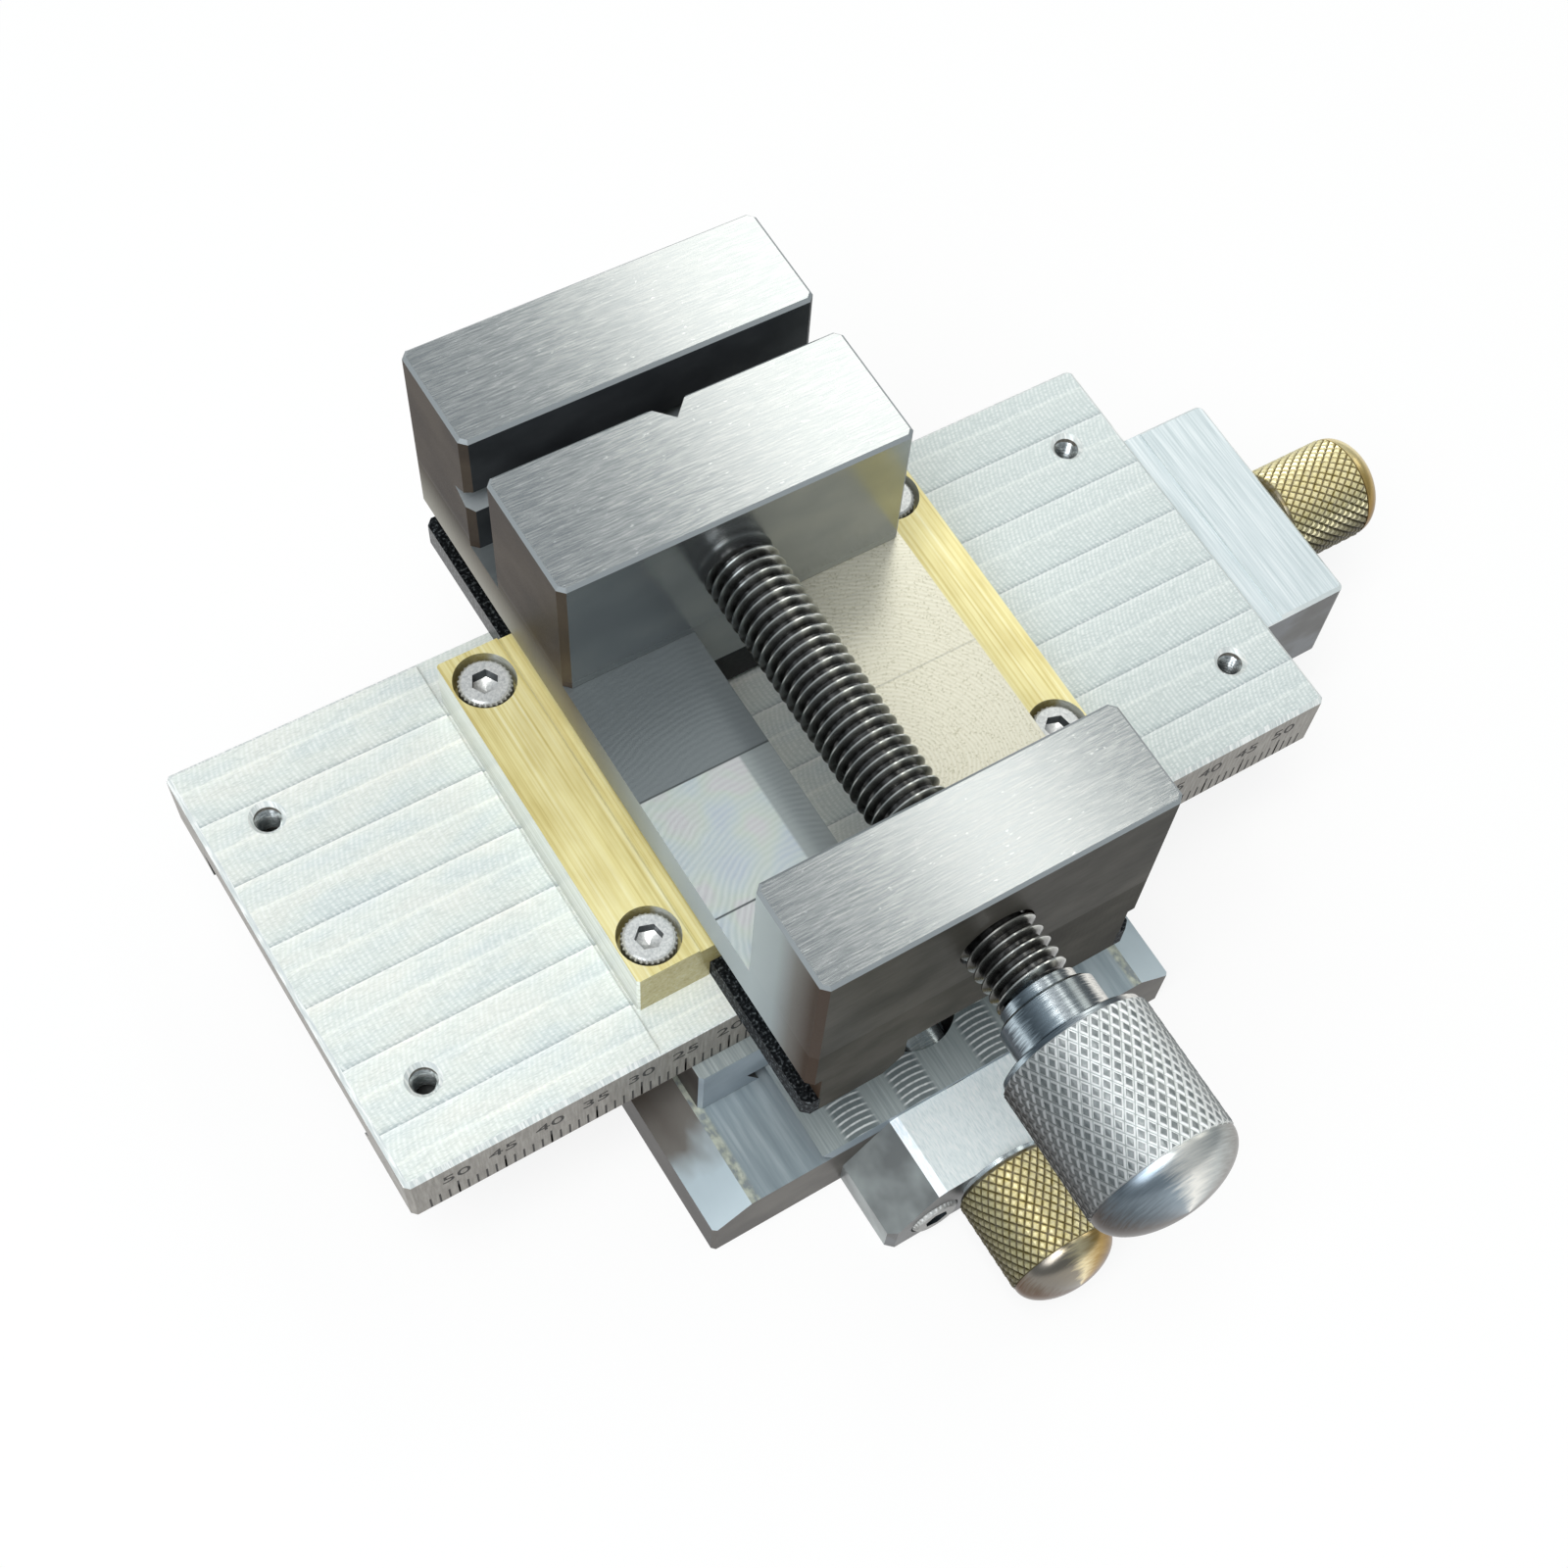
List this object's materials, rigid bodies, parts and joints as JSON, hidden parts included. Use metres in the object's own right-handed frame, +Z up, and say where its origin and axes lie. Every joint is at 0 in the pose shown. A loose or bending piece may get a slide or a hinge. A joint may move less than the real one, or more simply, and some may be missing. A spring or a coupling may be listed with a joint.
{
  "type": "cross slide vise",
  "caption": "Small screw vise clamped on the graduated table of a two-axis dovetail cross slide, with knurled knobs on all three screws.",
  "frame": {"origin": "middle of the base plate's underside", "axes": "+X along the graduated table towards its knob, +Y from the front knob towards the fixed jaw, +Z up"},
  "size_m": [0.1362, 0.1067, 0.0548],
  "materials": {
    "ground_steel": "satin",
    "plate_steel": "satin",
    "screw_steel": "polished",
    "thread_steel": "satin",
    "knob_brass": "polished",
    "strip_brass": "satin",
    "nut_bronze": "satin"
  },
  "bodies": {
    "base": {"base_plate": "ground_steel", "y_bearing_block": "ground_steel", "y_bearing_screws": "screw_steel", "y_thrust_washer": "screw_steel"},
    "y_screw": {"y_lead_screw": "thread_steel", "y_knob": "knob_brass", "y_knob_grub_screw": "screw_steel"},
    "saddle": {"saddle": "ground_steel", "y_gib": "thread_steel", "y_gib_screws": "screw_steel", "y_nut": "nut_bronze", "y_nut_screws": "screw_steel", "x_nut": "nut_bronze", "x_nut_screws": "screw_steel"},
    "table": {"table": "plate_steel", "x_gib": "thread_steel", "x_gib_screws": "screw_steel", "x_end_block": "ground_steel", "x_end_block_screws": "screw_steel", "x_thrust_washer": "screw_steel", "left_clamp_strip": "strip_brass", "left_clamp_screws": "screw_steel", "right_clamp_strip": "strip_brass", "right_clamp_screws": "screw_steel", "vise_body": "plate_steel"},
    "x_screw": {"x_lead_screw": "thread_steel", "x_knob": "knob_brass", "x_knob_grub_screw": "screw_steel"},
    "jaw": {"moving_jaw": "plate_steel", "screw_retaining_pins": "screw_steel", "jaw_keeper": "ground_steel", "keeper_screws": "screw_steel"},
    "vise_screw": {"vise_screw": "thread_steel", "vise_knob": "plate_steel"}
  },
  "joints": [
    {"name": "y_slide", "type": "slide", "parent": "base", "child": "saddle", "axis": [0, 1, 0], "range_m": [-0.0193, 0.0167]},
    {"name": "y_screw_turn", "type": "hinge", "parent": "base", "child": "y_screw", "pos_m": [0, -0.04, 0.0075], "axis": [0, 1, 0], "range_deg": [-6100, 7000]},
    {"name": "x_slide", "type": "slide", "parent": "saddle", "child": "table", "axis": [1, 0, 0], "range_m": [-0.03, 0.03]},
    {"name": "x_screw_turn", "type": "hinge", "parent": "table", "child": "x_screw", "pos_m": [0.06, 0.0033, 0.0186], "axis": [1, 0, 0], "range_deg": [-10900, 10900]},
    {"name": "jaw_slide", "type": "slide", "parent": "table", "child": "jaw", "axis": [0, 1, 0], "range_m": [-0.033, 0.0041]},
    {"name": "vise_screw_turn", "type": "hinge", "parent": "jaw", "child": "vise_screw", "pos_m": [0, 0.01, 0.0457], "axis": [0, 1, 0], "range_deg": [-9600, 1250]}
  ],
  "couplings": [
    {"joint": "y_screw_turn", "follows": "y_slide", "rad_per_m": -6283.2},
    {"joint": "x_screw_turn", "follows": "x_slide", "rad_per_m": 6283.2},
    {"joint": "vise_screw_turn", "follows": "jaw_slide", "rad_per_m": 5026.5}
  ]
}
